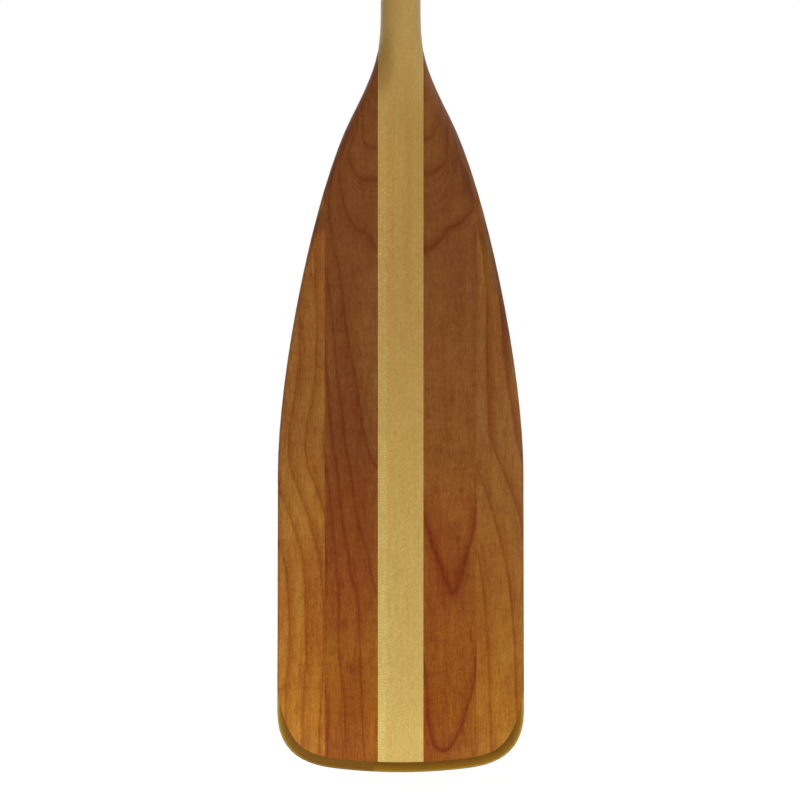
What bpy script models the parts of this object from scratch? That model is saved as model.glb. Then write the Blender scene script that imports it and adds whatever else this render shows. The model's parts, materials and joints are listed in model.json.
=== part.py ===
"""Laminated wooden canoe paddle with a straight shaft, a palm grip and a resin edge round its tip.

Metres, +Z up. The paddle stands on its tip with the shaft's axis along Z and the blade's faces
towards -Y and +Y. The origin is the tip's lowest point. As on the bench, one outer form is worked
out for the whole paddle, and each lamination is the slice of it between two upright glue planes.
"""

import math

import bmesh
import bpy
import numpy as np
from mathutils import Vector
from mathutils.geometry import interpolate_bezier

# Overall sizes
OVERALL_LENGTH = 1.372
BLADE_LENGTH = 0.608
BLADE_WIDTH = 0.1908
SHAFT_WIDTH = 0.0308
SHAFT_DEPTH = 0.0286

# Laminations
STAVE_WIDTH = 0.0351
INNER_STRIP_WIDTH = 0.0410
GRIP_INNER_WIDTH = 0.0120
GLUE_GAP = 0.0003

# Blade outline: throat and shoulder
SHOULDER_DROP = 0.1021
SHOULDER_WIDTH = 0.0761
SHOULDER_FLARE = math.radians(27.1)
THROAT_EASE = 0.0486
SHOULDER_EASE_ABOVE = 0.0520
SHOULDER_EASE_BELOW = 0.0612
UPPER_BLADE_WIDTH = 0.1899
UPPER_HEIGHT = 0.2301
SIDE_EASE = 0.0795

# Blade outline: tip
CORNER_HEIGHT = 0.0475
CORNER_EASE_SIDE = 0.0358
CORNER_EASE_BOTTOM = 0.0196
BOTTOM_ARC_WIDTH = 0.1008
BOTTOM_ARC_RADIUS = 0.4225

# Blade thickness
BLADE_THICKNESS = 0.0092
TIP_THICKNESS = 0.0056
ROOT_THICKNESS = 0.0170
EDGE_THICKNESS = 0.0052
ROOT_EDGE_THICKNESS = 0.0160
FLAT_BOTTOM = 0.110
FLAT_TOP = 0.400
ROOT_BOTTOM = 0.540
FEATHER_WIDTH = 0.060
FADE_LENGTH = 0.060

# Rounding of the blade's edge, as its reach over its half thickness
EDGE_ROUNDNESS = 1.3
ROOT_EDGE_ROUNDNESS = 1.8
ROUNDER_FROM = 0.420
ROUNDER_TO = 0.530

# Shaft's nose, which sinks into the blade
NOSE_DROP = 0.120
NOSE_LENGTH = 0.095
FILLET_POWER = 3

# Palm grip
GRIP_LENGTH = 0.125
GRIP_WIDTH = 0.080
GRIP_DEPTH = 0.035
GRIP_WIDEST_DROP = 0.033
GRIP_EASE_BELOW = 0.058
GRIP_EASE_ABOVE = 0.038
GRIP_EASE_SIDE = 0.020
GRIP_TOP_EASE = 0.030
GRIP_FULLNESS = 2.4

# Resin guard and the tongue it sits on
GUARD_WIDTH = 0.0080
GUARD_HEIGHT = 0.062
GUARD_RUNOUT = 0.045
GUARD_END_OFFSET = 0.0020
TONGUE_THICKNESS = 0.0020
TONGUE_LENGTH = 0.0030
TONGUE_STARTS_AT = 0.4
TONGUE_FULL_AT = 0.9
GROOVE_SHARE = 0.8
SEAT_OVERRUN = 0.008
SEAT_CUT_REACH = 0.006
SEAT_CUT_DEPTH = 0.012

# Fineness of the surfaces
THROAT_STEPS = 12
SHOULDER_STEPS = 16
CORNER_STEPS = 12
BOTTOM_STEPS = 7
GRIP_STEPS = 13
LONGEST_STEP = 0.040
STAVE_STEPS = 16
EVEN_STEPS = 3
ROUND_STEPS = 6
CROSSING_STEPS = 40
LEAN_REACH = 0.0005
MERGE_DISTANCE = 1e-6
SHARP_ANGLE = math.radians(40)

WOOD_PALE = (0.456, 0.283, 0.076)
WOOD_DARK = (0.202, 0.069, 0.018)
WOOD_ORANGE = (0.376, 0.150, 0.024)
RESIN_AMBER = (0.223, 0.107, 0.010)


def ramp(value, start, end):
    """Smooth step from 0 at start to 1 at end."""
    share = min(max((value - start) / (end - start), 0.0), 1.0)
    return share * share * (3.0 - 2.0 * share)


def curve(start, start_handle, end_handle, end, steps):
    """Points along a cubic curve, each a half width and a height, without its last point."""
    return [tuple(p) for p in interpolate_bezier(start, start_handle, end_handle, end, steps + 1)][:-1]


def bottom_arc():
    """The shallow arc that the paddle stands on, from the tip's lowest point to the corner."""
    half = BOTTOM_ARC_WIDTH / 2
    places = [half * i / BOTTOM_STEPS for i in range(BOTTOM_STEPS)]
    return [(x, BOTTOM_ARC_RADIUS - math.sqrt(BOTTOM_ARC_RADIUS**2 - x * x)) for x in places]


def corner_curve():
    """The rounded corner, from the bottom arc to the blade's straight side."""
    half = BOTTOM_ARC_WIDTH / 2
    lean = math.asin(half / BOTTOM_ARC_RADIUS)
    along = Vector((math.cos(lean), math.sin(lean)))
    start = Vector((half, BOTTOM_ARC_RADIUS * (1 - math.cos(lean))))
    end = Vector((BLADE_WIDTH / 2, CORNER_HEIGHT))
    drop = Vector((0, CORNER_EASE_SIDE))
    return curve(start, start + CORNER_EASE_BOTTOM * along, end - drop, end, CORNER_STEPS)


def shoulder_and_throat_curves():
    """The blade's upper outline, from the end of its straight side up to where the shaft begins."""
    side = Vector((UPPER_BLADE_WIDTH / 2, UPPER_HEIGHT))
    shoulder = Vector((SHOULDER_WIDTH / 2, BLADE_LENGTH - SHOULDER_DROP))
    throat = Vector((SHAFT_WIDTH / 2, BLADE_LENGTH))
    flare = Vector((math.sin(SHOULDER_FLARE), -math.cos(SHOULDER_FLARE)))
    up = Vector((0, 1))
    lower = curve(
        side,
        side + SIDE_EASE * up,
        shoulder + SHOULDER_EASE_BELOW * flare,
        shoulder,
        SHOULDER_STEPS,
    )
    upper = curve(
        shoulder,
        shoulder - SHOULDER_EASE_ABOVE * flare,
        throat - THROAT_EASE * up,
        throat,
        THROAT_STEPS,
    )
    return lower + upper + [tuple(throat)]


def grip_curves():
    """The palm grip's outline, from the shaft out to its widest place and over the top."""
    neck = Vector((SHAFT_WIDTH / 2, OVERALL_LENGTH - GRIP_LENGTH))
    widest = Vector((GRIP_WIDTH / 2, OVERALL_LENGTH - GRIP_WIDEST_DROP))
    top = Vector((0, OVERALL_LENGTH))
    up = Vector((0, 1))
    out = Vector((1, 0))
    flare = curve(neck, neck + GRIP_EASE_BELOW * up, widest - GRIP_EASE_ABOVE * up, widest, GRIP_STEPS)
    crown = curve(widest, widest + GRIP_EASE_SIDE * up, top + GRIP_TOP_EASE * out, top, GRIP_STEPS)
    return flare + crown + [tuple(top)]


def with_middle_points(outline):
    """The outline with its long straight stretches on the blade divided."""
    filled = [outline[0]]
    for (w0, z0), (w1, z1) in zip(outline, outline[1:]):
        parts = math.ceil((z1 - z0) / LONGEST_STEP) if z0 < BLADE_LENGTH else 1
        filled += [
            (w0 + (w1 - w0) * i / parts, z0 + (z1 - z0) * i / parts) for i in range(1, parts + 1)
        ]
    return filled


# Half widths and heights of the whole outline, from the tip's lowest point to the grip's top
OUTLINE = with_middle_points(
    bottom_arc()
    + corner_curve()
    + [(BLADE_WIDTH / 2, CORNER_HEIGHT)]
    + shoulder_and_throat_curves()
    + grip_curves()
)
OUTLINE_WIDTHS = np.array([point[0] for point in OUTLINE])
OUTLINE_HEIGHTS = np.array([point[1] for point in OUTLINE])


def half_width(z):
    """Distance from the centre line to the outline at a height."""
    return float(np.interp(z, OUTLINE_HEIGHTS, OUTLINE_WIDTHS))


def edge_lean(z):
    """Cosine of the outline's lean at a height, 1 where the edge runs straight up."""
    rise = half_width(z + LEAN_REACH) - half_width(z - LEAN_REACH)
    return 1 / math.hypot(1, rise / (2 * LEAN_REACH))


def sheet_fade(z):
    """Share of the blade's sheet that is left at a height: all of it, down to none in the shaft."""
    return 1 - ramp(z, BLADE_LENGTH - FADE_LENGTH, BLADE_LENGTH)


def sheet_middle(z):
    """Half thickness of the blade's sheet on the centre line."""
    thin = TIP_THICKNESS + (BLADE_THICKNESS - TIP_THICKNESS) * ramp(z, 0, FLAT_BOTTOM)
    thick = (ROOT_THICKNESS - BLADE_THICKNESS) * ramp(z, FLAT_TOP, ROOT_BOTTOM)
    return (thin + thick) / 2 * sheet_fade(z)


def sheet_edge(z):
    """Half thickness of the blade's sheet at its edge, before that is rounded."""
    root = (ROOT_EDGE_THICKNESS - EDGE_THICKNESS) * ramp(z, FLAT_TOP, ROOT_BOTTOM)
    return (EDGE_THICKNESS + root) / 2 * sheet_fade(z)


def edge_round(z):
    """Distance in from the outline over which the blade's edge is rounded, wide at the shoulders."""
    wider = (ROOT_EDGE_ROUNDNESS - EDGE_ROUNDNESS) * ramp(z, ROUNDER_FROM, ROUNDER_TO)
    return sheet_edge(z) * (EDGE_ROUNDNESS + wider)


def sheet_face(x, z):
    """Half thickness of the blade's sheet, feathered towards its edge but not yet rounded."""
    reach = (half_width(z) - abs(x)) * edge_lean(z)
    thinning = min(max(1 - reach / FEATHER_WIDTH, 0.0), 1.0) ** 2
    return sheet_middle(z) + (sheet_edge(z) - sheet_middle(z)) * thinning


def rounding(reach, z):
    """Share of the thickness that a rounded edge leaves at a distance in from the outline."""
    whole = edge_round(z)
    if reach >= whole:
        return 1.0
    return math.sqrt(max(1 - (1 - reach / whole) ** 2, 0.0))


def sheet_thickness(x, z):
    """Half thickness of the blade's sheet with its rounded edge."""
    if sheet_fade(z) == 0:
        return 0.0
    reach = max(half_width(z) - abs(x), 0.0) * edge_lean(z)
    return sheet_face(x, z) * rounding(reach, z)


def core_depth(z):
    """Half depth of the shaft, of the nose it ends in, and of the grip."""
    grip_neck = OVERALL_LENGTH - GRIP_LENGTH
    grip_widest = OVERALL_LENGTH - GRIP_WIDEST_DROP
    nose_end = BLADE_LENGTH - NOSE_DROP
    shaft = SHAFT_DEPTH / 2 * ramp(z, nose_end, nose_end + NOSE_LENGTH)
    grip = (GRIP_DEPTH - SHAFT_DEPTH) / 2 * ramp(z, grip_neck, grip_widest)
    rise = max(z - grip_widest, 0.0) / GRIP_WIDEST_DROP
    return (shaft + grip) * math.sqrt(max(1 - rise**GRIP_FULLNESS, 0.0))


def core_thickness(x, z):
    """Half thickness of the shaft, its nose or the grip: an oval, fuller at the grip."""
    half = half_width(z) if z > BLADE_LENGTH else min(half_width(z), STAVE_WIDTH / 2)
    if abs(x) >= half:
        return 0.0
    power = 2 + (GRIP_FULLNESS - 2) * ramp(z, OVERALL_LENGTH - GRIP_LENGTH, OVERALL_LENGTH)
    return core_depth(z) * (1 - (abs(x) / half) ** power) ** (1 / power)


def half_thickness(x, z):
    """Distance from the middle plane to the paddle's face, with core and sheet filleted together."""
    core = core_thickness(x, z)
    sheet = sheet_thickness(x, z)
    return (core**FILLET_POWER + sheet**FILLET_POWER) ** (1 / FILLET_POWER)


def ring(places, z):
    """Closed ring round a slice at one height: its front from end to end, and back behind."""
    front = [Vector((x, -half_thickness(x, z), z)) for x in places]
    back = [Vector((x, half_thickness(x, z), z)) for x in reversed(places)]
    return front + back


def stave_places(z):
    """Places across the stave at a height, closer together towards its sides."""
    half = min(half_width(z), (STAVE_WIDTH - GLUE_GAP) / 2)
    turns = [math.pi * (i / STAVE_STEPS - 0.5) for i in range(STAVE_STEPS + 1)]
    return [half * math.sin(turn) for turn in turns]


def side_places(z, near, far, round_reach):
    """Places across a slice beside the stave: even steps, then a turn round the paddle's edge."""
    edge = max(half_width(z), near)
    knee = max(near, edge - round_reach)
    even = [near + (knee - near) * i / EVEN_STEPS for i in range(EVEN_STEPS)]
    turns = [math.pi / 2 * i / ROUND_STEPS for i in range(ROUND_STEPS + 1)]
    turn = [knee + (edge - knee) * math.sin(angle) for angle in turns]
    return [min(x, far) for x in even + turn]


def material(name, colour, roughness):
    """Principled material with one colour and gloss."""
    made = bpy.data.materials.new(name)
    made.use_nodes = True
    shader = made.node_tree.nodes["Principled BSDF"]
    shader.inputs["Base Color"].default_value = (*colour, 1)
    shader.inputs["Roughness"].default_value = roughness
    shader.inputs["Metallic"].default_value = 0
    return made


def loft(name, rings, finish, parent):
    """Closed body whose skin runs from ring to ring, capped at both ends."""
    form = bmesh.new()
    loops = [[form.verts.new(point) for point in points] for points in rings]
    for low, high in zip(loops, loops[1:]):
        for i in range(len(low)):
            form.faces.new((low[i - 1], low[i], high[i], high[i - 1]))
    form.faces.new(loops[0])
    form.faces.new(loops[-1])
    bmesh.ops.remove_doubles(form, verts=form.verts, dist=MERGE_DISTANCE)
    bmesh.ops.recalc_face_normals(form, faces=form.faces)
    mesh = bpy.data.meshes.new(name)
    form.to_mesh(mesh)
    form.free()
    mesh.shade_smooth()
    mesh.set_sharp_from_angle(angle=SHARP_ANGLE)
    if finish:
        mesh.materials.append(finish)
    body = bpy.data.objects.new(name, mesh)
    body.parent = parent
    bpy.context.scene.collection.objects.link(body)
    return body


def crossing(width, low, high):
    """Height between two heights at which the outline's half width passes a width."""
    for _ in range(CROSSING_STEPS):
        middle = (low + high) / 2
        if (half_width(middle) > width) == (half_width(low) > width):
            low = middle
        else:
            high = middle
    return (low + high) / 2


def heights_between(low, high):
    """The two heights and the outline's own heights between them."""
    inside = [float(z) for z in OUTLINE_HEIGHTS if low + MERGE_DISTANCE < z < high - MERGE_DISTANCE]
    return [low, *inside, high]


def side_piece(name, side, near, far, low, high, round_reach, finish, parent):
    """Slice beside the stave between two glue planes, on the side given as -1 or 1."""
    near += GLUE_GAP / 2
    far -= GLUE_GAP / 2
    rings = []
    for z in heights_between(low, high):
        places = side_places(z, near, far, round_reach(z))
        rings.append(ring([side * x for x in places], z))
    return loft(name, rings, finish, parent)


def edge_reach(z):
    """Distance over which the blade's edge is rounded, measured level."""
    return edge_round(z) / edge_lean(z)


def blade_strip(name, side, near, far, finish, parent):
    """Strip of the blade, feathered out where the outline crosses its inner glue plane."""
    seam = near + GLUE_GAP / 2
    low = crossing(seam, 0, UPPER_HEIGHT)
    high = crossing(seam, UPPER_HEIGHT, BLADE_LENGTH)
    return side_piece(name, side, near, far, low, high, edge_reach, finish, parent)


def grip_block(name, side, near, far, finish, parent):
    """Block of the grip, feathered out where the outline crosses its inner glue plane."""
    seam = near + GLUE_GAP / 2
    widest = OVERALL_LENGTH - GRIP_WIDEST_DROP
    low = crossing(seam, OVERALL_LENGTH - GRIP_LENGTH, widest)
    high = crossing(seam, widest, OVERALL_LENGTH)
    return side_piece(name, side, near, far, low, high, half_width, finish, parent)


def stave(name, finish, parent):
    """The one long stave: grip core, shaft, and centre strip of the blade down to its tip."""
    rings = [ring(stave_places(z), z) for z in heights_between(0, OVERALL_LENGTH)]
    return loft(name, rings, finish, parent)


def tip_path(overrun):
    """Outline round the tip between the guard's ends, each lengthened by overrun up the side.

    Each entry is a point, its inward direction and its distance from the nearer end of the guard.
    """
    top = GUARD_HEIGHT + overrun
    right = [Vector((half_width(z), z)) for z in heights_between(0, top)]
    left = [Vector((-point.x, point.y)) for point in right[:0:-1]]
    points = left + right
    walked = [0.0]
    for before, after in zip(points, points[1:]):
        walked.append(walked[-1] + (after - before).length)
    path = []
    for i, point in enumerate(points):
        before = points[max(i - 1, 0)]
        after = points[min(i + 1, len(points) - 1)]
        along = (after - before).normalized()
        inward = Vector((-along.y, along.x))
        path.append((point, inward, min(walked[i], walked[-1] - walked[i]) - overrun))
    return path


def guard_width(distance):
    """Width of the guard at a distance from its end along the outline, negative past that end."""
    share = min(distance / GUARD_RUNOUT, 1.0)
    return GUARD_WIDTH * math.sin(share * math.pi / 2)


def tongue_length(width):
    """Length of the tongue under a stretch of guard, none where the guard runs out thin."""
    return TONGUE_LENGTH * ramp(width / GUARD_WIDTH, TONGUE_STARTS_AT, TONGUE_FULL_AT)


def beside(point, inward, distance, y):
    """Place at a distance in from the outline and a depth from the middle plane."""
    place = point + inward * distance
    return Vector((place.x, y, place.y))


def guard_ring(point, inward, distance):
    """Ring round the guard: its rounded outside, its two faces and the groove for the tongue."""
    width = guard_width(distance)
    seat = width - GLUE_GAP
    turns = [math.pi / 2 * i / ROUND_STEPS for i in range(ROUND_STEPS + 1)]
    reaches = [min(edge_round(point.y) * (1 - math.cos(turn)), seat) for turn in turns] + [seat]
    face = []
    for reach in reaches:
        place = point + inward * reach
        face.append((reach, sheet_face(place.x, place.y) * rounding(reach, point.y)))
    groove = min(TONGUE_THICKNESS / 2 + GLUE_GAP, GROOVE_SHARE * face[-1][1])
    floor = seat - tongue_length(width)
    inside = [(seat, groove), (floor, groove), (floor, -groove), (seat, -groove)]
    profile = [(reach, -y) for reach, y in face]
    profile += [(reach, -y) for reach, y in inside]
    profile += [(reach, y) for reach, y in reversed(face)]
    return [beside(point, inward, reach, y) for reach, y in profile]


def tip_guard(name, finish, parent):
    """Cast resin edge round the tip and its corners, running out to nothing up each side."""
    rings = [guard_ring(*station) for station in tip_path(-GUARD_END_OFFSET)]
    return loft(name, rings, finish, parent)


def seat_ring(point, inward, distance):
    """Ring round what is cut from the wood for the guard, with the tongue left standing."""
    width = guard_width(distance)
    tongue = TONGUE_THICKNESS / 2
    end = width - tongue_length(width)
    profile = [
        (width, -SEAT_CUT_DEPTH),
        (width, -tongue),
        (end, -tongue),
        (end, tongue),
        (width, tongue),
        (width, SEAT_CUT_DEPTH),
        (-SEAT_CUT_REACH, SEAT_CUT_DEPTH),
        (-SEAT_CUT_REACH, -SEAT_CUT_DEPTH),
    ]
    return [beside(point, inward, reach, y) for reach, y in profile]


def seat_cutter(parent):
    """Guide that cuts the guard's seat round the tip of each wooden piece."""
    rings = [seat_ring(*station) for station in tip_path(SEAT_OVERRUN)]
    cutter = loft("guard_seat_cutter", rings, None, parent)
    cutter.hide_render = True
    cutter.display_type = "WIRE"
    return cutter


def cut_seat(piece, cutter):
    """Cut the guard's seat on a piece of wood, and crease the new edges."""
    cut = piece.modifiers.new("guard seat", "BOOLEAN")
    cut.operation = "DIFFERENCE"
    cut.solver = "EXACT"
    cut.object = cutter
    with bpy.context.temp_override(object=piece):
        bpy.ops.object.modifier_apply(modifier=cut.name)
    piece.data.set_sharp_from_angle(angle=SHARP_ANGLE)


def clear_scene():
    """Remove what the scene holds."""
    for item in list(bpy.data.objects):
        bpy.data.objects.remove(item, do_unlink=True)


def build():
    """Make the whole paddle."""
    clear_scene()
    paddle = bpy.data.objects.new("canoe_paddle", None)
    bpy.context.scene.collection.objects.link(paddle)

    pale = material("pale_wood", WOOD_PALE, 0.35)
    dark = material("dark_wood", WOOD_DARK, 0.35)
    orange = material("orange_wood", WOOD_ORANGE, 0.35)
    resin = material("amber_resin", RESIN_AMBER, 0.25)

    stave_side = STAVE_WIDTH / 2
    blade_seam = stave_side + INNER_STRIP_WIDTH
    grip_seam = stave_side + GRIP_INNER_WIDTH
    cutter = seat_cutter(paddle)
    cut_seat(stave("shaft", pale, paddle), cutter)
    for label, side in (("left", -1), ("right", 1)):
        inner = blade_strip(f"blade_inner_{label}", side, stave_side, blade_seam, dark, paddle)
        outer = blade_strip(f"blade_outer_{label}", side, blade_seam, BLADE_WIDTH, orange, paddle)
        cut_seat(inner, cutter)
        cut_seat(outer, cutter)
        grip_block(f"grip_inner_{label}", side, stave_side, grip_seam, dark, paddle)
        grip_block(f"grip_outer_{label}", side, grip_seam, GRIP_WIDTH, orange, paddle)
    tip_guard("tip_guard", resin, paddle)


build()
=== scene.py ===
"""Looks of a laminated canoe paddle: figured wood under varnish, an amber resin edge and a white studio.

Metres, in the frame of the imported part. Places in the wood's figure are millimetres: across the
blade from its centre line, and along it from the tip. A ramp is given as its start and its end, and
where two more numbers follow, they are its values there. A noise is given as the sizes of its spots
along X, Y and Z, its octaves and, where it isn't the usual one, its roughness.
"""

import json
import math

import bmesh
import bpy
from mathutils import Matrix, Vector
from mathutils.kdtree import KDTree


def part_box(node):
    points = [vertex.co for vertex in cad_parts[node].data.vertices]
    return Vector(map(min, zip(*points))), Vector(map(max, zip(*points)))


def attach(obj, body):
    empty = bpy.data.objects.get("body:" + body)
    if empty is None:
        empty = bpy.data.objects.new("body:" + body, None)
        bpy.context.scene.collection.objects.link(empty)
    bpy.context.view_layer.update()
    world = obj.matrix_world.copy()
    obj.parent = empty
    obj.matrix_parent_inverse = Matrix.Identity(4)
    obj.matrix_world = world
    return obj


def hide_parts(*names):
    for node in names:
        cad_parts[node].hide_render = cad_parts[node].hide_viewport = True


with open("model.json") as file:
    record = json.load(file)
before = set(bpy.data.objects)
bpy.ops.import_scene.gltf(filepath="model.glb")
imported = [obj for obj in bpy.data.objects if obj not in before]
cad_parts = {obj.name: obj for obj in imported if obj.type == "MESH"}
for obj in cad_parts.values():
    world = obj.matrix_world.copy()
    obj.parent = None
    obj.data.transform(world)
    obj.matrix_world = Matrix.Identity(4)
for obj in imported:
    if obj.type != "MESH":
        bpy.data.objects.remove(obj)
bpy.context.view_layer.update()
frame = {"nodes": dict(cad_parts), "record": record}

MM_PER_METRE = 1000

# Picture
PICTURE_WIDTH = 0.6179
PICTURE_CENTRE = Vector((-0.0005, 0, 0.2875))
CAMERA_DISTANCE = 2.6
SENSOR_WIDTH = 36

# Joints between the pieces
MERGE_DISTANCE = 2e-6
SHARP_ANGLE = math.radians(35)
GLUE_OVERLAP = 0.00002

# Finishes: how strongly they shine, and for each of them its roughness at the hollows and at the heights,
# and the strength and height of its bumps
SHINE = 0.38
VARNISH = ((0.31, 0.39), 0.06, 0.0002)
CAST_SURFACE = ((0.2, 0.3), 0.05, 0.0003)

# Tones of the boards and of the pale stave, as linear colours: (height above the tip, colour) at the
# throat's side and at the tip's. Their rise in brightness towards the tip is partly the wood's own tone
# and partly painted light, standing in for the light that falls more strongly on the lower blade
TONES_WITH_PAINTED_LIGHT = {
    "inner_left": ((265, (0.190, 0.055, 0.0090)), (60, (0.272, 0.079, 0.0032))),
    "inner_right": ((380, (0.198, 0.0635, 0.0112)), (60, (0.260, 0.0715, 0.0032))),
    "outer_left": ((265, (0.272, 0.0965, 0.0130)), (60, (0.380, 0.143, 0.0112))),
    "outer_right": ((265, (0.241, 0.088, 0.0138)), (60, (0.330, 0.118, 0.0086))),
    "pale": ((335, (0.452, 0.266, 0.064)), (60, (0.560, 0.380, 0.101))),
}

# Tints, which multiply a tone
RING_TINT = (0.76, 0.50, 0.12)
RED_TINT = (0.95, 0.87, 0.80)
TAN_TINT = (1.04, 1.10, 1.14)
YELLOW_TINT = (1.02, 1.11, 1.16)
SHAFT_TINT = (1.05, 1.12, 1.25)
FLECK_TINT = (1.16, 1.24, 1.45)
STREAK_TINT = (0.88, 0.80, 0.70)

# Shifts, which say how far a change of brightness reaches red, green and blue
RINGED_SHIFT = (0.5, 1.0, 1.5)
PALE_SHIFT = (0.6, 1.0, 1.8)
RED_SHIFT = (0.35, 1.0, 1.4)
# Shift of painted shade: darker places along the blade's rims where the rounding turns away from the light
PAINTED_SHADE_SHIFT = (1.0, 1.0, 0.4)
# Shift of painted shade on the stave, where the shaft's side turns away from the light
PAINTED_OLIVE_SHADE_SHIFT = (0.7, 1.0, 1.3)
AMBER_SHIFT = (1.0, 0.7, 0.5)
# Shift of the stave's own streaks, and of a painted highlight on the outer left board's rim
HONEY_SHIFT = (0.3, 1.0, 2.0)

# Clouds, blotches and fine marks of all the woods: the sizes and octaves of their noise, and the ramp from
# where each of them starts to where it is full
FIBRE_ROUGHNESS = 0.6
FIBRE_NOISE = {
    "Cloud": ((9, 9, 55), 3, 0.3, 0.7),
    "Blotch": ((9, 9, 24), 4, 0.35, 0.65),
    "Curl": ((14, 14, 5), 2, 0.35, 0.65),
    "Fibre": ((1.3, 1.3, 10), 3, 0.25, 0.75),
    "Wisp": ((2.2, 2.2, 34), 3, 0.54, 0.74),
    "Speck": ((1.7, 1.7, 2.4), 2, 0.25, 0.75),
    "Pore": ((1.1, 1.1, 3.6), 1, 0.6, 0.78),
}

# Strengths of the fine marks in each wood, and how many times as strong they are at the tip of a board
MARKS = {
    "inner": {"Cloud": 0.13, "Curl": 0.07, "Fibre": 0.22, "Speck": 0.16, "Pore": -0.08},
    "outer": {"Cloud": 0.13, "Curl": 0.06, "Fibre": 0.26, "Speck": 0.20, "Pore": -0.08},
    "pale": {"Cloud": 0.02, "Curl": 0.01, "Fibre": 0.08, "Speck": 0.12},
}
MARKS_AT_TIP = {"inner_left": 1.75, "inner_right": 1.75, "outer_left": 1.4, "outer_right": 1.3}

# Strengths of the blotches and wisps, and how uneven the edges of the darker and lighter places are
RINGED_BLOTCHES = 0.6
PALE_BLOTCHES = 0.18
WISPS = 0.40
SPOT_UNEVENNESS = 0.2

# Growth lines: heights over which they grow clearer towards the tip, and how clear they are at both ends
CLEARER_TO_TIP = (420, 60)
RING_CLARITY = (0.95, 1.15)

# Least slope of their count, their width, sway, ragged edges and uneven thinness, and the bands beside them
LEAST_STEEPNESS = 0.004
LINE_WIDTH = (1.9, 0.1)
LINE_SWAY = 1.6
SWAY_NOISE = ((18, 18, 60), 2)
LINE_RAGGEDNESS = 0.4
RAGGED_NOISE = ((1.5, 1.5, 9), 1)
LINE_THINNESS = (0.3, 0.7, 0.75, 1.5)
THINNESS_NOISE = ((12, 12, 45), 1)
WIDER_ACROSS_GRAIN = (0.3, 0.9, 1.0, 0.58)
BAND_WIDTH = 8.5
BAND_EDGE = 1.0

# Ripples of the curly wood, which lie only in one growth ring and in patches of it
RIPPLES_IN_RING = 9
RIPPLE_WAVE = (-0.6, 1)
RIPPLES_BEGIN = (2.0, 2.08)
RIPPLES_END = (2.6, 2.25)
RIPPLE_PATCHES = (0.3, 0.5)
RIPPLE_NOISE = ((14, 14, 20), 2)

# Metres that the figure moves across and along the blade for each metre of depth in the wood
ACROSS_BY_DEPTH = 0.35
ALONG_BY_DEPTH = 2.5

# Figure of each board: as a number, or as (height above the tip, value) points
LEFT_LINE = [
    (0, -49), (60, -48), (110, -45.5), (145, -46.5), (179, -52), (195, -56.6), (210, -61.2),
    (226, -66.6), (244, -72), (257, -72.8), (288, -68.4), (318, -65.2), (365, -64.6), (440, -71),
]
LEFT_SPACING = 13.4
RIGHT_LINE = [
    (0, 113), (50, 111), (107, 108.5), (150, 105), (182, 97.5), (210, 90), (234, 81),
    (254, 71.5), (270, 68), (320, 66.5), (365, 66.3), (396, 64.5), (425, 60),
]
RIGHT_SPACING = [
    (0, 20.8), (240, 20.8), (275, 20.3), (294, 17.8), (320, 14.8), (339, 13), (358, 12.2), (403, 8.6),
    (440, 7),
]
LEFT_ARCH_LEVEL = [
    (0, 5.32), (35, 5.25), (70, 5.2), (100, 5.17), (129, 5.1), (136, 5.0), (146, 4.9), (164, 4.87),
    (182, 4.62), (206, 4.25), (236, 4), (252, 3.8), (298, 3.5), (345, 3.35), (402, 3), (435, 2.5),
    (453.5, 2), (476.5, 1), (502, 0),
]
LEFT_ARCH_SPREAD = [
    (0, 2.75), (35, 2.93), (60, 2.97), (80, 2.68), (100, 2.52), (129, 2.69), (145, 3.07), (164, 3.3),
    (205, 3.45), (250, 3.05), (333, 2.65), (368, 2.3), (385, 2.05), (391, 1.9), (402, 1.4), (412, 1.36),
    (419, 1.69), (434, 1.83), (457, 3.2), (472, 5.5), (479.5, 9), (487, 18), (496, 34), (502, 40),
]
LEFT_ARCH_POWER = [
    (0, 0.8), (35, 1.03), (60, 1.1), (100, 1.06), (129, 1.12), (145, 1.3), (164, 1.8), (280, 1.8),
    (333, 2.4), (368, 2.6), (385, 2.42), (391, 2.3), (402, 1.4), (412, 1.25), (419, 2.29), (434, 2.63),
    (457, 3.15), (502, 3.2),
]
RIGHT_ARCH_LEVEL = [
    (0, 5.17), (20.5, 5), (138, 4), (270, 3.5), (402, 3), (414, 2.8), (435.5, 2.37), (458, 2),
    (469.5, 1.5), (482, 1), (508, 0),
]
RIGHT_ARCH_AXIS = [
    (0, 32), (21, 32.6), (36, 34.6), (54, 36.2), (73, 38.2), (94, 38.2), (138, 40.5), (174, 39), (200, 37.7),
    (290, 30), (402, 17.5), (520, 17.5),
]
RIGHT_ARCH_SPREAD = [
    (0, 0.6), (21.5, 0.75), (28, 1.12), (34, 1.3), (40, 1.47), (53, 1.69), (73, 2.04), (94, 2.25),
    (138, 0.8), (160, 0.86), (172, 0.78), (195, 0.74), (225, 0.67), (300, 0.66), (402, 0.86), (410, 1.0),
    (418, 1.12), (425, 0.85), (439, 0.73), (452, 1.15), (458, 1.35), (469.5, 3), (482, 5.4), (508, 9),
]
RIGHT_ARCH_POWER = [
    (0, 1.8), (94, 1.8), (138, 1.4), (300, 1.5), (402, 1.9), (410, 1.87), (418, 1.77), (425, 2), (511, 2),
]

# Distance from its axis at which the spread of an arch is counted
ARCH_WIDTH = 41.0

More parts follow.
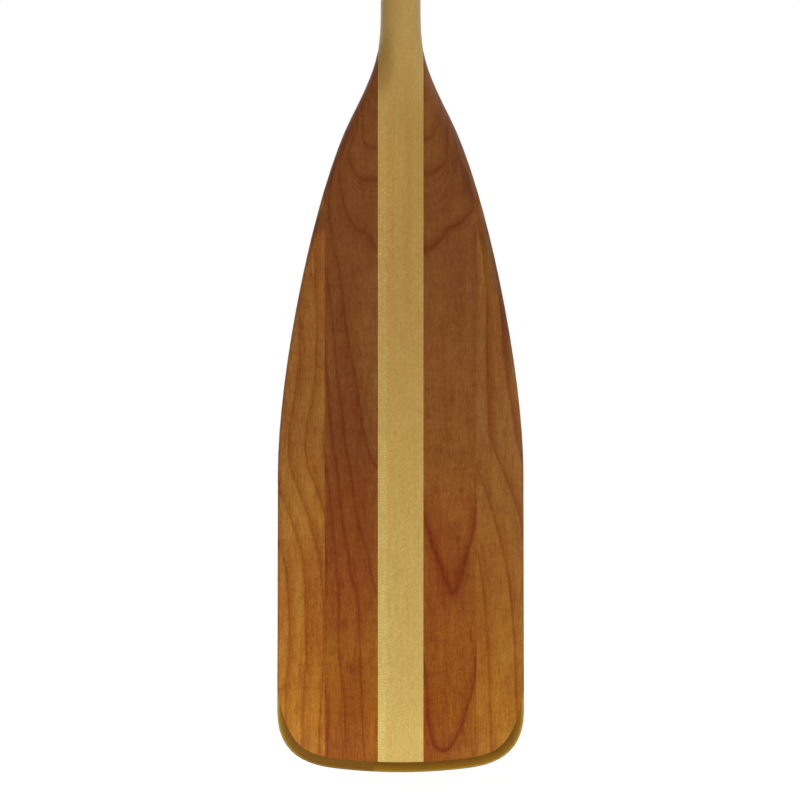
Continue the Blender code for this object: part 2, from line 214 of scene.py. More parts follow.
# Strengths of each board's rings: as a number, or as (height above the tip, strength) points
RINGS = {
    "inner_left": {
        "Ripple": 0.8,
        "Inside": 0.12,
        "Line": [(0, 0.72), (400, 0.72), (470, 0.75), (500, 0.5)],
        "Beyond": [(0, 0.05), (150, 0.08), (190, 0.3), (400, 0.3), (480, 0.15)],
    },
    "inner_right": {
        "Ripple": 0.6,
        "Line": [
            (0, 1.0), (40, 0.95), (115, 0.72), (138, 0.5), (165, 0.65), (200, 0.75), (230, 0.72),
            (460, 0.7), (485, 0.4),
        ],
        "Inside": [
            (0, 0.7), (40, 0.7), (90, 0.35), (138, 1.0), (180, 0.95), (215, 0.6), (260, 0.2),
            (402, 0.7), (490, 0.5),
        ],
        "Beyond": [(0, 0.2), (100, 0.25), (138, 0.6), (190, 0.3), (480, 0.15)],
    },
    "outer_left": {"Inside": 0.05, "Line": 0.6, "Beyond": 0.44},
    "outer_right": {
        "Inside": 0.05,
        "Line": 0.6,
        "Beyond": [(0, 0.44), (240, 0.44), (280, 0.85), (420, 0.85)],
    },
}

# Darker and lighter places of the boards and of the stave, listed with the shift of their change: across,
# height above the tip, half width, half height, change. Most are the wood's own tone; those marked below
# are painted shade or a painted highlight, at the blade's rims and on the stave beside the shaft
SPOTS = {
    "inner_left": [
        (RED_SHIFT, [
            (-40, 168, 32, 85, -0.28), (-24, 315, 11, 80, 0.26), (-37, 258, 22, 50, -0.20),
            (-43, 38, 28, 60, -0.20), (-33, 476, 26, 60, 0.11),
        ]),
    ],
    "inner_right": [
        (RED_SHIFT, [
            (35, 162, 20, 44, -0.22), (25, 197, 14, 40, -0.12), (35, 137, 9, 15, -0.12),
            (27, 113, 15, 32, -0.12), (41, 438, 20, 45, -0.10), (27, 397, 16, 24, -0.14),
            (38, 235, 24, 45, 0.08), (26, 30, 15, 55, -0.28), (50, 30, 12, 45, 0.14),
            (54.3, 106, 1.3, 12, -0.42), (27, 485, 20, 55, 0.05),
        ]),
        # Painted shade along the right rim below the throat
        (PAINTED_SHADE_SHIFT, [(34, 500, 9, 24, -0.17), (43.5, 478, 8, 24, -0.18), (51.5, 456, 9, 26, -0.25)]),
    ],
    "outer_left": [
        (RED_SHIFT, [
            (-82, 205, 18, 45, 0.14), (-90, 137, 9, 40, -0.14), (-65, 140, 10, 65, -0.22),
            # On the next line the last two places, at the left rim below the shoulder, are painted shade
            (-66, 70, 9, 60, -0.20), (-64, 405, 9, 35, -0.20), (-63.5, 430, 9, 14, -0.16),
        ]),
        # Painted shade at the left rim below the shoulder
        (PAINTED_SHADE_SHIFT, [(-63.5, 430, 9, 15, -0.38)]),
        # Painted highlight: a thin light line on the left rim, a painted reflection of the bright
        # surroundings
        (HONEY_SHIFT, [(-66.3, 403, 2.4, 20, 0.55)]),
    ],
    "outer_right": [
        (RED_SHIFT, [
            (80, 45, 22, 45, 0.12), (75, 330, 11, 65, -0.16), (78, 165, 20, 32, -0.14),
            (61, 110, 8, 60, -0.16),
        ]),
        # Painted shade along the right rim below the shoulder
        (PAINTED_SHADE_SHIFT, [
            (68, 428, 7, 32, -0.34), (75, 397, 7, 32, -0.34), (82, 366, 7, 32, -0.32),
            (87, 335, 7, 32, -0.15),
        ]),
    ],
    "pale": [
        # Painted shade on the stave's left, where the round shaft turns away into the flat blade
        (PAINTED_OLIVE_SHADE_SHIFT, [(-15.5, 534, 10.5, 28, -0.30)]),
        (AMBER_SHIFT, [(-8, 464, 18, 40, 0.07)]),
        (HONEY_SHIFT, [
            (-10.4, 430, 1.2, 100, -0.07), (-6.0, 430, 1.3, 110, -0.09), (-4.2, 430, 1.1, 110, 0.06),
            (0.3, 430, 1.1, 110, 0.05), (5.2, 440, 5.0, 130, -0.09),
        ]),
    ],
}

# Pale stave: where its marks fade, where the shaft's tone takes over, its yellower sides, its streaks and
# the strengths of its flecks
MARKS_FADE = (400, 500, 1.0, 0.6)
BLADE_TO_SHAFT = (475, 535)
LEFT_SIDE = (-9.5, -11.8)
LEFT_SIDE_BELOW = (545, 495)
RIGHT_SIDE = (10, 17, 0.0, 0.5)
STREAKS = (0.4, 0.62, 0.0, 0.22)
STREAK_NOISE = ((2.2, 2.2, 300), 2, 0.7)
FLECKS = {"Dash": 0.8, "Slant": 0.45}

# Dashes of the stave: wavering rows that bow down from its left seam, seen in groups, most of them beside
# that seam and below the throat
DASH_SPACING = 2.1
DASH_BOW = 0.012
DASH_BOW_FROM = 17.5
DASH_WANDER = 3.2
WANDER_NOISE = ((9, 9, 7), 2)
DASHES = (0.1, 0.9)
DASH_GROUPS = (0.36, 0.56)
DASH_GROUP_NOISE = ((9, 9, 12), 2)
DASHES_BY_SEAM = (-8, -11.5, 0.25, 1.0)
DASHES_BELOW = (470, 410, 0.15, 1)

# Slanted flecks of the stave: their angle, their noise, and where they are strong across and along the stave
SLANT_ANGLE = math.radians(-32)
SLANTS = (0.56, 0.72)
SLANT_NOISE = ((1.3, 1.3, 3.4), 1)
SLANTS_ACROSS = (16, -8, 0.25, 1.0)
SLANTS_ABOVE = (350, 400, 1, 2)
SLANTS_BELOW = (510, 460, 0.4, 1)

# Resin: its tones, its noise, and the ramps over which the tones change, in metres in from its rim or along
# X. Its lighter rim is partly painted light shining through the thin resin. Its light edge is painted light,
# against the shade of its rounded underside, and is weaker where it is dull
# Rim and deep tones: the rim's lightness is partly the resin's own colour, partly painted light shining
# through it
RESIN_RIM = (0.270, 0.132, 0.004)
RESIN_DEEP = (0.138, 0.053, 0.001)
RESIN_PAINTED_EDGE_LIGHT = (0.560, 0.345, 0.080)
RESIN_DULL = (0.168, 0.070, 0.0040)
RESIN_CLOUDS = 0.0012
RESIN_CLOUD_NOISE = ((12, 12, 12), 2)
CAST_NOISE = ((4, 4, 4), 2)
RIM_TO_DEEP = (0.0, 0.0075)
DULL_FROM = (-0.092, -0.074)
DULL_TO = (-0.020, -0.0215, 0, 0.85)
PAINTED_EDGE_LIGHT_REACH = (0.0022, 0.0002)
PAINTED_EDGE_LIGHT_WHERE_DULL = (0, 1, 1, 0.5)

# Studio: the world's strength as light and in dark reflections, its white sides as ramps of the direction,
# and the floor
WHITE = (1, 1, 1, 1)
WORLD_LIGHT = 0.36
WORLD_REFLECTED = 0.08
WHITE_AT_RIGHT = (0.0, 0.3)
NOT_IN_FRONT = (-0.85, -0.55)
WHITE_BEHIND = (-0.3, 0.4)
WHITE_ABOVE = (0.45, 0.9)
FLOOR_REACH = 9
FLOOR_COLOUR = (0.4, 0.4, 0.4)
FLOOR_ROUGHNESS = 0.9
FLOOR_LIFT = (0.3, 1.5, 0.81, 1.0)

# Lamps, in front at the right, at the left, behind, and low by the tip: name, place, target, width, height,
# power
LAMPS = [
    ("main_lamp", (1.3, -2.2, 0.6), (0, 0, 0.35), 1.0, 1.0, 31),
    ("left_lamp", (-1.3, -2.2, 0.6), (0, 0, 0.35), 1.0, 1.0, 9),
    ("back_lamp", (-1.2, 2.2, 1.3), (0, 0, 0.6), 1.0, 1.0, 35),
    ("tip_lamp", (0, -0.05, 0.014), (0, 0, 0.014), 0.24, 0.02, 0.0135),
    ("low_lamp", (-0.32, -0.3, 0.0), (0, 0, 0.03), 0.15, 0.15, 0.9),
    ("low_lamp", (0.32, -0.3, 0.0), (0, 0, 0.03), 0.15, 0.15, 0.4),
]


def glue_plane(inner, outer):
    """Middle of the glue line between two nodes, of which the first is nearer the centre line."""
    return (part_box(inner)[1].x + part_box(outer)[0].x) / 2


STAVE_SEAM = glue_plane("shaft", "blade_inner_right")
BLADE_SEAM = glue_plane("blade_inner_right", "blade_outer_right")
GRIP_SEAM = glue_plane("grip_inner_right", "grip_outer_right")
GLUE_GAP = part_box("blade_inner_right")[0].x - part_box("shaft")[1].x
FRONT_FACE = frame["record"]["mounts"][0]["pos_m"][1]


# Mesh pieces


def merged(node):
    """A node's mesh with its loose triangles joined."""
    form = bmesh.new()
    form.from_mesh(frame["nodes"][node].data)
    bmesh.ops.remove_doubles(form, verts=form.verts, dist=MERGE_DISTANCE)
    return form


def close_glue_lines(form):
    """Move the flat glued sides of a lamination out to the middle of their glue lines."""
    glued = set()
    for vertex in form.verts:
        for seam in (STAVE_SEAM, BLADE_SEAM, GRIP_SEAM):
            outward = abs(vertex.co.x) - seam
            if abs(abs(outward) - GLUE_GAP / 2) < MERGE_DISTANCE:
                shift = seam - math.copysign(GLUE_OVERLAP, outward)
                vertex.co.x = math.copysign(shift, vertex.co.x)
                glued.add(vertex)
    return glued


def shade(form, glued):
    """Smooth shading with sharp edges where the surface turns and round each glued side."""
    sides = {face for face in form.faces if glued.issuperset(face.verts)}
    for face in form.faces:
        face.smooth = True
    for edge in form.edges:
        turned = edge.calc_face_angle(0) > SHARP_ANGLE
        rims_glue = len(sides.intersection(edge.link_faces)) == 1
        edge.smooth = not (turned or rims_glue)


def finished(form, name, node, material):
    """Object for a finished mesh, which stands for a node and rides with it."""
    mesh = bpy.data.meshes.new(name)
    form.to_mesh(mesh)
    form.free()
    mesh.materials.clear()
    mesh.materials.append(material)
    piece = bpy.data.objects.new(name, mesh)
    bpy.context.scene.collection.objects.link(piece)
    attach(piece, "root")
    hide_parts(node)
    return piece


def lamination(node, material):
    """Varnished lamination in place of a wooden node."""
    form = merged(node)
    shade(form, close_glue_lines(form))
    return finished(form, f"{node}_wood", node, material)


def guard(material):
    """Resin edge in place of its node, seated on the wood, with each point's inset from its rim."""
    form = merged("tip_guard")
    rim = [vertex for vertex in form.verts if abs(vertex.co.y) < MERGE_DISTANCE]
    tree = KDTree(len(rim))
    for index, vertex in enumerate(rim):
        tree.insert(vertex.co, index)
    tree.balance()
    inset_layer = form.verts.layers.float.new("inset")
    reaches = {}
    for vertex in form.verts:
        place, index, _ = tree.find((vertex.co.x, 0, vertex.co.z))
        inset = math.hypot(vertex.co.x - place.x, vertex.co.z - place.z)
        vertex[inset_layer] = inset
        reaches[vertex] = (index, inset, place)
    widest = {}
    for index, inset, _ in reaches.values():
        widest[index] = max(widest.get(index, 0), inset)
    for vertex, (index, inset, place) in reaches.items():
        if inset > widest[index] - MERGE_DISTANCE and inset > 0:
            inward = Vector((vertex.co.x - place.x, 0, vertex.co.z - place.z)).normalized()
            vertex.co += inward * GLUE_GAP
    shade(form, set())
    return finished(form, "tip_guard_resin", "tip_guard", material)


# Shader nodes


class Nodes:
    """Adds nodes to a tree. An input that is a socket is linked, and any other is a fixed value."""

    def __init__(self, tree):
        self.tree = tree

    def add(self, kind, inputs=None, **settings):
        """Node of a kind, with its settings and inputs."""
        node = self.tree.nodes.new(kind)
        for key, value in settings.items():
            setattr(node, key, value)
        for key, value in (inputs or {}).items():
            if isinstance(value, bpy.types.NodeSocket):
                self.tree.links.new(value, node.inputs[key])
            else:
                node.inputs[key].default_value = value
        return node

    def math(self, operation, first, second=0.0):
        """Result of a sum on one or two values."""
        return self.add("ShaderNodeMath", {0: first, 1: second}, operation=operation).outputs[0]

    def total(self, first, *others):
        """Values added up in their order."""
        for other in others:
            first = self.math("ADD", first, other)
        return first

    def product(self, first, *others):
        """Values multiplied in their order."""
        for other in others:
            first = self.math("MULTIPLY", first, other)
        return first

    def vector(self, operation, first, second=None, **inputs):
        """Result of a sum on one or two vectors."""
        if second is not None:
            inputs[1] = second
        return self.add("ShaderNodeVectorMath", {0: first, **inputs}, operation=operation).outputs[0]

    def ramp(self, value, low, high, start=0.0, end=1.0, smooth=False):
        """Value mapped from low..high to start..end, and held there outside them."""
        settings = {"From Min": low, "From Max": high, "To Min": start, "To Max": end}
        kind = "SMOOTHSTEP" if smooth else "LINEAR"
        node = self.add("ShaderNodeMapRange", {"Value": value, **settings}, interpolation_type=kind)
        return node.outputs[0]

    def swing(self, value, reach):
        """Value from 0 to 1 mapped to a reach on either side of zero."""
        return self.ramp(value, 0, 1, -reach, reach)

    def mix(self, share, first, second, blend="MIX"):
        """Two colours mixed by a share."""
        inputs = {0: share, 6: first, 7: second}
        node = self.add("ShaderNodeMix", inputs, data_type="RGBA", blend_type=blend)
        return node.outputs[2]

    def tinted(self, tone, share, tint):
        """A tone multiplied by a tint, as far as the share says."""
        return self.mix(share, tone, rgba(tint), "MULTIPLY")

    def noise(self, place, sizes, detail=2.0, roughness=0.5):
        """Noise from 0 to 1 whose spots have the given sizes along X, Y and Z, in millimetres."""
        scales = [MM_PER_METRE / size for size in sizes]
        stretched = self.add("ShaderNodeMapping", {"Vector": place, "Scale": scales})
        inputs = {"Vector": stretched.outputs[0], "Scale": 1.0, "Detail": detail, "Roughness": roughness}
        return self.add("ShaderNodeTexNoise", inputs).outputs[0]

    def follow(self, height, points):
        """Value that follows the height above the tip through (height, value) points, or a fixed number."""
        if not isinstance(points, list):
            return points
        top = points[-1][0]
        values = [value for _, value in points]
        low, high = min(values), max(values)
        share = self.math("DIVIDE", height, top)
        node = self.add("ShaderNodeFloatCurve", {"Value": share})
        node.mapping.extend = "HORIZONTAL"
        line = node.mapping.curves[0]
        spots = [(z / top, (value - low) / (high - low)) for z, value in points]
        line.points[0].location = spots[0]
        line.points[1].location = spots[-1]
        for spot in spots[1:-1]:
            line.points.new(*spot)
        node.mapping.update()
        return self.ramp(node.outputs[0], 0, 1, low, high)


def rgba(colour):
    """A colour with full alpha."""
    return (*colour, 1)


def new_group(name, inputs, outputs):
    """Empty node group with named inputs and outputs, and its nodes, start and end."""
    tree = bpy.data.node_groups.new(name, "ShaderNodeTree")
    for label, kind in inputs.items():
        tree.interface.new_socket(label, in_out="INPUT", socket_type=f"NodeSocket{kind}")
    for label, kind in outputs.items():
        tree.interface.new_socket(label, in_out="OUTPUT", socket_type=f"NodeSocket{kind}")
    nodes = Nodes(tree)
    start = nodes.add("NodeGroupInput").outputs
    end = nodes.add("NodeGroupOutput").inputs
    return tree, nodes, start, end


def place_in_board():
    """Group: millimetres across and along the blade, sheared through its thickness."""
    tree, nodes, start, end = new_group(
        "place in board", {"Place": "Vector"}, {"Across": "Float", "Along": "Float"}
    )
    parts = nodes.add("ShaderNodeSeparateXYZ", {0: start["Place"]}).outputs
    depth = nodes.math("SUBTRACT", parts["Y"], FRONT_FACE)
    across = nodes.total(parts["X"], nodes.product(depth, ACROSS_BY_DEPTH))
    along = nodes.total(parts["Z"], nodes.product(depth, ALONG_BY_DEPTH))
    tree.links.new(nodes.product(across, MM_PER_METRE), end["Across"])
    tree.links.new(nodes.product(along, MM_PER_METRE), end["Along"])
    return tree


def growth_rings():
    """Group: dark lines where the ring count passes whole numbers, with bands and ripples beside them.

    Count Beside and Count Above are the counts a millimetre further across and along. Inside is the
    band that leads up to a line, and Beyond the one that follows it.
    """
    tree, nodes, start, end = new_group(
        "growth rings",
        {"Place": "Vector", "Count": "Float", "Count Beside": "Float", "Count Above": "Float"},
        {"Line": "Float", "Inside": "Float", "Beyond": "Float", "Ripple": "Float"},
    )
    beside = nodes.math("SUBTRACT", start["Count Beside"], start["Count"])
    above = nodes.math("SUBTRACT", start["Count Above"], start["Count"])
    squares = nodes.total(nodes.product(beside, beside), nodes.product(above, above))
    steepness = nodes.math("MAXIMUM", nodes.math("SQRT", squares), LEAST_STEEPNESS)
    sway = nodes.swing(nodes.noise(start["Place"], *SWAY_NOISE), LINE_SWAY)
    count = nodes.total(start["Count"], nodes.product(sway, steepness))
    past = nodes.math("SUBTRACT", nodes.math("FRACT", nodes.total(count, 0.5)), 0.5)
    ragged = nodes.swing(nodes.noise(start["Place"], *RAGGED_NOISE), LINE_RAGGEDNESS)
    millimetres = nodes.total(nodes.math("DIVIDE", past, steepness), ragged)
    thin = nodes.ramp(nodes.noise(start["Place"], *THINNESS_NOISE), *LINE_THINNESS)
    level = nodes.math("DIVIDE", nodes.math("ABSOLUTE", above), steepness)
    narrow = nodes.product(thin, nodes.ramp(level, *WIDER_ACROSS_GRAIN))
    distance = nodes.product(nodes.math("ABSOLUTE", millimetres), narrow)
    inside = nodes.ramp(millimetres, -BAND_WIDTH, 0.0, smooth=True)
    beyond = nodes.ramp(millimetres, BAND_WIDTH, 0.0, smooth=True)
    up_to_line = nodes.ramp(millimetres, BAND_EDGE, -BAND_EDGE, smooth=True)
    past_line = nodes.ramp(millimetres, -BAND_EDGE, BAND_EDGE, smooth=True)
    wave = nodes.math("SINE", nodes.product(count, 2 * math.pi * RIPPLES_IN_RING))
    patches = nodes.ramp(nodes.noise(start["Place"], *RIPPLE_NOISE), *RIPPLE_PATCHES)
    rippled = nodes.product(nodes.ramp(count, *RIPPLES_BEGIN), nodes.ramp(count, *RIPPLES_END))
    ripple = nodes.product(nodes.ramp(wave, *RIPPLE_WAVE), nodes.product(patches, rippled))
    tree.links.new(nodes.ramp(distance, *LINE_WIDTH, smooth=True), end["Line"])
    tree.links.new(nodes.product(inside, up_to_line), end["Inside"])
    tree.links.new(nodes.product(beyond, past_line), end["Beyond"])
    tree.links.new(ripple, end["Ripple"])
    return tree


def wood_fibre():
    """Group: clouds and blotches, and the curl, fibres, wisps, specks and pores of the grain."""
    outputs = {name: "Float" for name in FIBRE_NOISE}
    tree, nodes, start, end = new_group("wood fibre", {"Place": "Vector"}, outputs)
    for name, (sizes, detail, low, high) in FIBRE_NOISE.items():
        mark = nodes.noise(start["Place"], sizes, detail, FIBRE_ROUGHNESS)
        tree.links.new(nodes.ramp(mark, low, high), end[name])
    return tree


PLACE_IN_BOARD = place_in_board()
GROWTH_RINGS = growth_rings()
WOOD_FIBRE = wood_fibre()


def new_material(name):
    """Material with an empty tree but for its shader, and the pieces' own place."""
    material = bpy.data.materials.new(name)
    material.use_nodes = True
    nodes = Nodes(material.node_tree)
    shader = material.node_tree.nodes["Principled BSDF"]
    place = nodes.add("ShaderNodeTexCoord").outputs["Object"]
    return material, nodes, shader, place


def group_outputs(nodes, tree, **inputs):
    """Outputs of a group placed in a material with the given inputs."""
    node = nodes.add("ShaderNodeGroup", inputs, node_tree=tree)
    return node.outputs


def clear_gloss(nodes, shader, colour, height, finish):
    """Clear gloss over a colour, with roughness and bumps that follow the height of the surface."""
    roughness, strength, distance = finish
    nodes.tree.links.new(colour, shader.inputs["Base Color"])
    shader.inputs["Specular IOR Level"].default_value = SHINE
    nodes.tree.links.new(nodes.ramp(height, 0, 1, *roughness), shader.inputs["Roughness"])
    bump = nodes.add("ShaderNodeBump", {"Height": height, "Strength": strength, "Distance": distance})
    nodes.tree.links.new(bump.outputs[0], shader.inputs["Normal"])


def board_tone(nodes, along, fibre, tones, blotches):
    """Colour of a board between its rings: throat to tip, lighter towards the tip partly by painted light,
    with blotches of a given strength.
    """
    (high, throat), (low, tip) = tones
    # Lighter towards the tip: partly the wood's tone, partly painted light
    tone = nodes.mix(nodes.ramp(along, high, low), rgba(throat), rgba(tip))
    hue = nodes.mix(fibre["Blotch"], rgba(TAN_TINT), rgba(RED_TINT))
    return nodes.mix(blotches, tone, hue, "MULTIPLY")


def fine_marks(nodes, fibre, marks):
    """Change of a tone by the fine marks of its wood."""
    change = 0.0
    for mark, strength in marks.items():
        change = nodes.total(change, nodes.swing(fibre[mark], strength))
    return change


def soft_spots(nodes, across, along, fibre, spots):
    """Change of a tone by soft oval places with uneven edges."""
    change = 0.0
    uneven = nodes.swing(fibre["Blotch"], SPOT_UNEVENNESS)
    for middle, height, half_width, half_height, strength in spots:
        aside = nodes.math("DIVIDE", nodes.math("SUBTRACT", across, middle), half_width)
        above = nodes.math("DIVIDE", nodes.math("SUBTRACT", along, height), half_height)
        squares = nodes.total(nodes.product(aside, aside), nodes.product(above, above))
        spot = nodes.ramp(nodes.total(squares, uneven), 1.0, 0.0, 0.0, strength, smooth=True)
        change = nodes.total(change, spot)
    return change


def shifted(nodes, tone, change, shift):
    """A tone with a change that reaches its red, green and blue as far as the shift says."""
    tint = nodes.vector("SCALE", shift, Scale=change)
    return nodes.vector("MULTIPLY", tone, nodes.vector("ADD", tint, (1, 1, 1)))


def spotted(nodes, tone, across, along, fibre, board):
    """A tone with the darker and lighter places of a board, some of them painted shade or a painted
    highlight.
    """
    for shift, places in SPOTS[board]:
        tone = shifted(nodes, tone, soft_spots(nodes, across, along, fibre, places), shift)
    return tone


def ringed_wood(board, ring_count):
    """Wood of one board, whose growth rings follow the board's own ring count."""
    material, nodes, shader, place = new_material(f"{board}_wood")
    wood = group_outputs(nodes, PLACE_IN_BOARD, Place=place)
    across, along = wood["Across"], wood["Along"]
    counts = {
        "Count": ring_count(nodes, across, along),
        "Count Beside": ring_count(nodes, nodes.total(across, 1), along),
        "Count Above": ring_count(nodes, across, nodes.total(along, 1)),
    }
    rings = group_outputs(nodes, GROWTH_RINGS, Place=place, **counts)
    fibre = group_outputs(nodes, WOOD_FIBRE, Place=place)
    tone = board_tone(nodes, along, fibre, TONES_WITH_PAINTED_LIGHT[board], RINGED_BLOTCHES)
    tone = spotted(nodes, tone, across, along, fibre, board)
    stronger = nodes.ramp(along, *CLEARER_TO_TIP, 1.0, MARKS_AT_TIP[board])
    marks = fine_marks(nodes, fibre, MARKS[board.split("_")[0]])
    tone = shifted(nodes, tone, nodes.product(marks, stronger), RINGED_SHIFT)
    clearer = nodes.ramp(along, *CLEARER_TO_TIP, *RING_CLARITY)
    wisps = nodes.product(fibre["Wisp"], nodes.product(stronger, WISPS))
    tone = nodes.tinted(tone, wisps, RING_TINT)
    for mark, strength in RINGS[board].items():
        share = nodes.product(rings[mark], nodes.product(clearer, nodes.follow(along, strength)))
        tone = nodes.tinted(tone, share, RING_TINT)
    clear_gloss(nodes, shader, tone, fibre["Fibre"], VARNISH)
    return material


def slanted_count(line, spacing):
    """Ring count of a board whose rings run side by side along one line."""

    def count(nodes, across, along):
        offset = nodes.math("SUBTRACT", across, nodes.follow(along, line))
        return nodes.math("DIVIDE", offset, nodes.follow(along, spacing))

    return count


def arched_count(level, axis, spread, power):
    """Ring count of a board whose rings arch over an axis: its level there and its spread beside."""

    def count(nodes, across, along):
        offset = nodes.math("ABSOLUTE", nodes.math("SUBTRACT", across, nodes.follow(along, axis)))
        rise = nodes.math("POWER", nodes.math("DIVIDE", offset, ARCH_WIDTH), nodes.follow(along, power))
        rise = nodes.product(rise, nodes.follow(along, spread))
        return nodes.total(nodes.follow(along, level), rise)

    return count


def ray_flecks():
    """Group: short light dashes across the grain, in loose groups, and small slanted ones."""
    tree, nodes, start, end = new_group(
        "ray flecks",
        {"Place": "Vector", "Across": "Float", "Along": "Float"},
        {"Dash": "Float", "Slant": "Float"},
    )
    from_seam = nodes.total(start["Across"], DASH_BOW_FROM)
    bow = nodes.product(nodes.math("POWER", from_seam, 2.0), DASH_BOW)
    wander = nodes.swing(nodes.noise(start["Place"], *WANDER_NOISE), DASH_WANDER)
    row = nodes.total(start["Along"], bow, wander)
    wave = nodes.math("SINE", nodes.product(row, 2 * math.pi / DASH_SPACING))
    groups = nodes.ramp(nodes.noise(start["Place"], *DASH_GROUP_NOISE), *DASH_GROUPS)
    beside_seam = nodes.ramp(start["Across"], *DASHES_BY_SEAM, smooth=True)
    beside_seam = nodes.product(beside_seam, nodes.ramp(start["Along"], *DASHES_BELOW))
    dash = nodes.product(nodes.ramp(wave, *DASHES), nodes.product(groups, beside_seam))
    turned = nodes.add("ShaderNodeMapping", {"Vector": start["Place"], "Rotation": (0, SLANT_ANGLE, 0)})
    slant = nodes.ramp(nodes.noise(turned.outputs[0], *SLANT_NOISE), *SLANTS)
    across = nodes.ramp(start["Across"], *SLANTS_ACROSS)
    above = nodes.ramp(start["Along"], *SLANTS_ABOVE)
    along = nodes.product(above, nodes.ramp(start["Along"], *SLANTS_BELOW))
    tree.links.new(dash, end["Dash"])
    tree.links.new(nodes.product(slant, nodes.product(across, along)), end["Slant"])
    return tree


def pale_wood():
    """Straight-grained pale wood, yellower at its sides, with ray flecks across its left part."""
    material, nodes, shader, place = new_material("pale_wood_varnished")
    wood = group_outputs(nodes, PLACE_IN_BOARD, Place=place)
    across, along = wood["Across"], wood["Along"]
    fibre = group_outputs(nodes, WOOD_FIBRE, Place=place)
    flecks = group_outputs(nodes, ray_flecks(), Place=place, Across=across, Along=along)
    tone = board_tone(nodes, along, fibre, TONES_WITH_PAINTED_LIGHT["pale"], PALE_BLOTCHES)
    tone = spotted(nodes, tone, across, along, fibre, "pale")
    change = nodes.product(fine_marks(nodes, fibre, MARKS["pale"]), nodes.ramp(along, *MARKS_FADE))
    tone = shifted(nodes, tone, change, PALE_SHIFT)
    tone = nodes.tinted(tone, nodes.ramp(along, *BLADE_TO_SHAFT, smooth=True), SHAFT_TINT)
    left = nodes.ramp(across, *LEFT_SIDE, smooth=True)
    left = nodes.product(left, nodes.ramp(along, *LEFT_SIDE_BELOW))
    right = nodes.ramp(across, *RIGHT_SIDE, smooth=True)
    tone = nodes.tinted(tone, nodes.total(left, right), YELLOW_TINT)
    streaks = nodes.ramp(nodes.noise(place, *STREAK_NOISE), *STREAKS)
    tone = nodes.tinted(tone, streaks, STREAK_TINT)
    for mark, strength in FLECKS.items():
        tone = nodes.tinted(tone, nodes.product(flecks[mark], strength), FLECK_TINT)
    clear_gloss(nodes, shader, tone, fibre["Fibre"], VARNISH)
    return material


def resin():
    """Amber resin, darker where it is thick beside the wood and lighter at its rim, partly as painted light
    shining through the thin rim, with a painted light edge at the very rim.
    """
    material, nodes, shader, place = new_material("amber_resin_cast")
    inset = nodes.add("ShaderNodeAttribute", attribute_name="inset").outputs["Fac"]
    clouds = nodes.swing(nodes.noise(place, *RESIN_CLOUD_NOISE), RESIN_CLOUDS)
    depth = nodes.ramp(nodes.total(inset, clouds), *RIM_TO_DEEP, smooth=True)
    # Lighter towards the rim, partly painted light shining through the thin resin
    tone = nodes.mix(depth, rgba(RESIN_RIM), rgba(RESIN_DEEP))
    across = nodes.add("ShaderNodeSeparateXYZ", {0: place}).outputs["X"]
    dull = nodes.product(nodes.ramp(across, *DULL_FROM), nodes.ramp(across, *DULL_TO))
    tone = nodes.mix(dull, tone, rgba(RESIN_DULL))
    # Painted light along the very rim, weaker where the resin is dull
    edge = nodes.product(nodes.ramp(inset, *PAINTED_EDGE_LIGHT_REACH), nodes.ramp(dull, *PAINTED_EDGE_LIGHT_WHERE_DULL))
    tone = nodes.mix(edge, tone, rgba(RESIN_PAINTED_EDGE_LIGHT))
    clear_gloss(nodes, shader, tone, nodes.noise(place, *CAST_NOISE), CAST_SURFACE)
    return material


# Studio


def shown_rays(nodes):
    """1 for the camera's rays and those let through, and 1 for reflected rays."""
    path = nodes.add("ShaderNodeLightPath").outputs
    seen = nodes.math("MAXIMUM", path["Is Camera Ray"], path["Is Transmission Ray"])
    return seen, path["Is Glossy Ray"]


def studio_world():
    """Soft grey light, white to the camera, and in reflections white behind, above and at the right."""
    world = bpy.data.worlds.new("studio")
    bpy.context.scene.world = world
    world.use_nodes = True
    nodes = Nodes(world.node_tree)
    direction = nodes.add("ShaderNodeTexCoord").outputs["Generated"]
    sides = nodes.add("ShaderNodeSeparateXYZ", {0: direction}).outputs
    seen, glossy = shown_rays(nodes)
    white = nodes.product(nodes.ramp(sides["Y"], *NOT_IN_FRONT), nodes.ramp(sides["X"], *WHITE_AT_RIGHT))
    white = nodes.math("MAXIMUM", white, nodes.ramp(sides["Y"], *WHITE_BEHIND))
    white = nodes.math("MAXIMUM", white, nodes.ramp(sides["Z"], *WHITE_ABOVE))
    share = nodes.math("MAXIMUM", seen, nodes.product(glossy, white))
    background = world.node_tree.nodes["Background"]
    around = nodes.ramp(glossy, 0, 1, WORLD_LIGHT, WORLD_REFLECTED)
    strength = nodes.ramp(share, 0, 1, around, 1)
    world.node_tree.links.new(strength, background.inputs["Strength"])
    background.inputs["Color"].default_value = WHITE


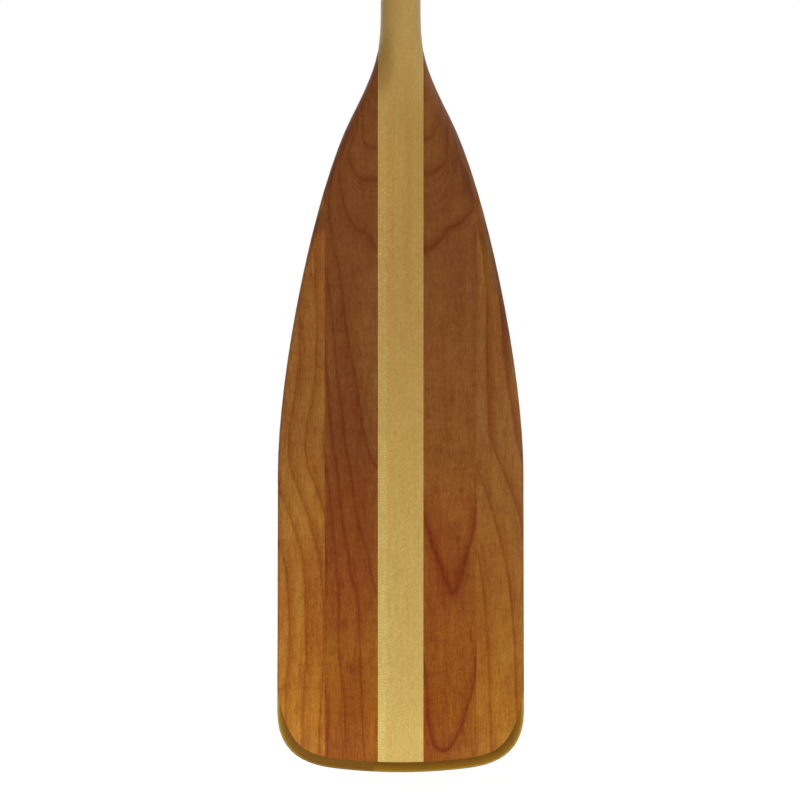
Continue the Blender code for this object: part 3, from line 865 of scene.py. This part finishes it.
def floor():
    """Pale floor under the tip, white away from the paddle, with its soft shadow, and clear from below."""
    form = bmesh.new()
    bmesh.ops.create_grid(form, x_segments=1, y_segments=1, size=FLOOR_REACH)
    mesh = bpy.data.meshes.new("floor")
    form.to_mesh(mesh)
    form.free()
    material, nodes, shader, place = new_material("floor")
    shader.inputs["Base Color"].default_value = rgba(FLOOR_COLOUR)
    shader.inputs["Roughness"].default_value = FLOOR_ROUGHNESS
    shader.inputs["Specular IOR Level"].default_value = 0.0
    distance = nodes.add("ShaderNodeVectorMath", {0: place}, operation="LENGTH").outputs["Value"]
    seen, _ = shown_rays(nodes)
    lift = nodes.product(nodes.ramp(distance, *FLOOR_LIFT, smooth=True), seen)
    shader.inputs["Emission Color"].default_value = WHITE
    nodes.tree.links.new(lift, shader.inputs["Emission Strength"])
    below = nodes.add("ShaderNodeNewGeometry").outputs["Backfacing"]
    clear = nodes.add("ShaderNodeBsdfTransparent").outputs[0]
    either = nodes.add("ShaderNodeMixShader", {0: below, 1: shader.outputs[0], 2: clear})
    output = nodes.tree.nodes["Material Output"]
    nodes.tree.links.new(either.outputs[0], output.inputs["Surface"])
    mesh.materials.append(material)
    ground = bpy.data.objects.new("floor", mesh)
    bpy.context.scene.collection.objects.link(ground)


def aim(item, place, target):
    """Put an item at a place and turn it to a target."""
    item.location = place
    item.rotation_euler = (Vector(target) - Vector(place)).to_track_quat("-Z", "Y").to_euler()


def soft_lamp(name, place, target, width, height, power):
    """Soft lamp that neither the camera nor the varnish shows."""
    data = bpy.data.lights.new(name, "AREA")
    data.shape = "RECTANGLE"
    data.size = width
    data.size_y = height
    data.energy = power
    lamp = bpy.data.objects.new(name, data)
    lamp.visible_camera = False
    lamp.visible_glossy = False
    bpy.context.scene.collection.objects.link(lamp)
    aim(lamp, place, target)


def camera():
    """Long lens level with the middle of the picture."""
    data = bpy.data.cameras.new("camera")
    data.sensor_width = SENSOR_WIDTH
    data.lens = SENSOR_WIDTH * CAMERA_DISTANCE / PICTURE_WIDTH
    eye = bpy.data.objects.new("camera", data)
    bpy.context.scene.collection.objects.link(eye)
    aim(eye, PICTURE_CENTRE - Vector((0, CAMERA_DISTANCE, 0)), PICTURE_CENTRE)
    bpy.context.scene.camera = eye


def paddle():
    """All pieces of the paddle: the pale stave, the boards beside it on blade and grip, and the guard."""
    left_axis = -STAVE_SEAM * MM_PER_METRE
    counts = {
        "inner_left": arched_count(LEFT_ARCH_LEVEL, left_axis, LEFT_ARCH_SPREAD, LEFT_ARCH_POWER),
        "inner_right": arched_count(RIGHT_ARCH_LEVEL, RIGHT_ARCH_AXIS, RIGHT_ARCH_SPREAD, RIGHT_ARCH_POWER),
        "outer_left": slanted_count(LEFT_LINE, LEFT_SPACING),
        "outer_right": slanted_count(RIGHT_LINE, RIGHT_SPACING),
    }
    woods = {board: ringed_wood(board, ring_count) for board, ring_count in counts.items()}
    lamination("shaft", pale_wood())
    for part in ("blade", "grip"):
        for board, wood in woods.items():
            lamination(f"{part}_{board}", wood)
    guard(resin())


paddle()
floor()
studio_world()
for lamp in LAMPS:
    soft_lamp(*lamp)
camera()
bpy.context.scene.view_settings.view_transform = "Standard"
